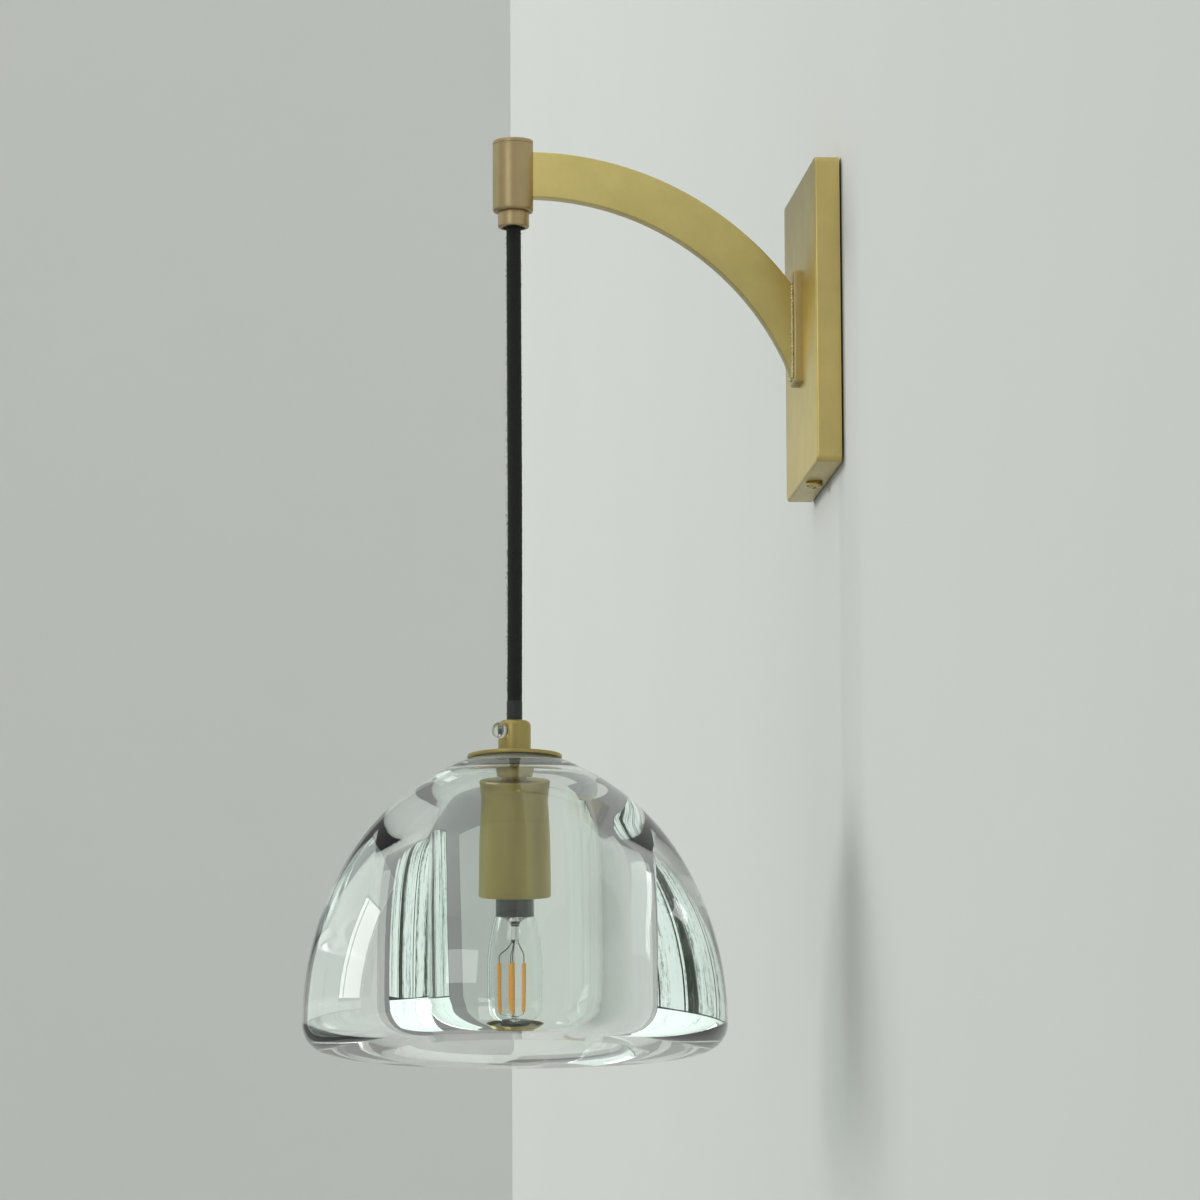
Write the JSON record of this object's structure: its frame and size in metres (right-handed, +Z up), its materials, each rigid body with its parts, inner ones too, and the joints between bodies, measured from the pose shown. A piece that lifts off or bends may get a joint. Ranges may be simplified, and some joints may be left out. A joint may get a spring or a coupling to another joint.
{
  "type": "wall sconce with pendant shade",
  "caption": "Wall light: a flat curved arm on a rectangular backplate carries a hub, from which a cord hangs a clear bell shade with a tubular bulb in a metal cup.",
  "frame": {"origin": "middle of the wall bracket's back, on the wall plane", "axes": "+Z up, +Y into the wall, +X along the wall; the light stands out toward -Y"},
  "size_m": [0.2, 0.251, 0.4382],
  "materials": {
    "satin_brass": "satin brushed",
    "brass_screws": "machined",
    "zinc_steel": "zinc plated",
    "white_plastic": "moulded",
    "black_plastic": "moulded",
    "black_textile": "braided textile",
    "black_sleeve": "semi matt",
    "brown_wire": "smooth",
    "blue_wire": "smooth",
    "green_wire": "smooth",
    "clear_nylon": "translucent",
    "clear_gasket": "translucent",
    "clear_glass": "polished",
    "bulb_glass": "polished",
    "nickel": "satin",
    "shell_brass": "bright",
    "insulator": "glossy",
    "filament": "yellow coated"
  },
  "bodies": {
    "wall_fixture": {"backplate_cover": "satin_brass", "wall_bracket": "zinc_steel", "cover_screws": "brass_screws", "earth_screw": "zinc_steel", "terminal_block": "white_plastic", "terminal_screws": "brass_screws", "foot_pad": "satin_brass", "foot_screws": "zinc_steel", "weld_beads": "satin_brass", "arm_tube": "satin_brass", "hub_shell": "satin_brass", "hub_cap": "satin_brass", "cord_ferrule": "satin_brass", "ferrule_nut": "brass_screws", "cord_anchor": "white_plastic", "cord_tail": "black_textile", "arm_wire_live": "brown_wire", "arm_wire_neutral": "blue_wire", "arm_wire_earth": "green_wire"},
    "swing_bush": {"swing_bush": "black_plastic"},
    "pendant": {"pendant_cord": "black_textile", "cord_sleeve": "black_sleeve", "cord_grip": "satin_brass", "upper_disc": "satin_brass", "upper_gasket": "clear_gasket", "glass_shade": "clear_glass", "lower_gasket": "clear_gasket", "lower_disc": "satin_brass", "lock_nut": "satin_brass", "cup_collar": "satin_brass", "threaded_nipple": "brass_screws", "lamp_cup": "satin_brass", "cup_set_screw": "brass_screws", "holder_cap": "white_plastic", "holder_body": "white_plastic", "screw_shell": "shell_brass", "centre_contact": "shell_brass", "pendant_lead_live": "brown_wire", "pendant_lead_neutral": "blue_wire", "pendant_lead_earth": "green_wire"},
    "clamp_screw": {"clamp_screw": "clear_nylon"},
    "bulb": {"bulb_envelope": "bulb_glass", "bulb_collar": "nickel", "bulb_cap": "nickel", "bulb_insulator": "insulator", "bulb_contact": "shell_brass", "bulb_stem": "bulb_glass", "support_wires": "nickel", "led_filaments": "filament"}
  },
  "joints": [
    {"name": "fore_aft_swing", "type": "hinge", "parent": "wall_fixture", "child": "swing_bush", "pos_m": [0, -0.151, 0.051], "axis": [1, 0, 0], "range_deg": [-20, 7]},
    {"name": "side_swing", "type": "hinge", "parent": "swing_bush", "child": "pendant", "pos_m": [0, -0.151, 0.051], "axis": [0, 1, 0], "range_deg": [-18, 18]},
    {"name": "bulb_unscrews", "type": "slide", "parent": "pendant", "child": "bulb", "axis": [0, 0, -1], "range_m": [0, 0.09]},
    {"name": "clamp_screw_backs_out", "type": "slide", "parent": "pendant", "child": "clamp_screw", "axis": [0.7071, -0.7071, 0], "range_m": [0, 0.007]}
  ]
}
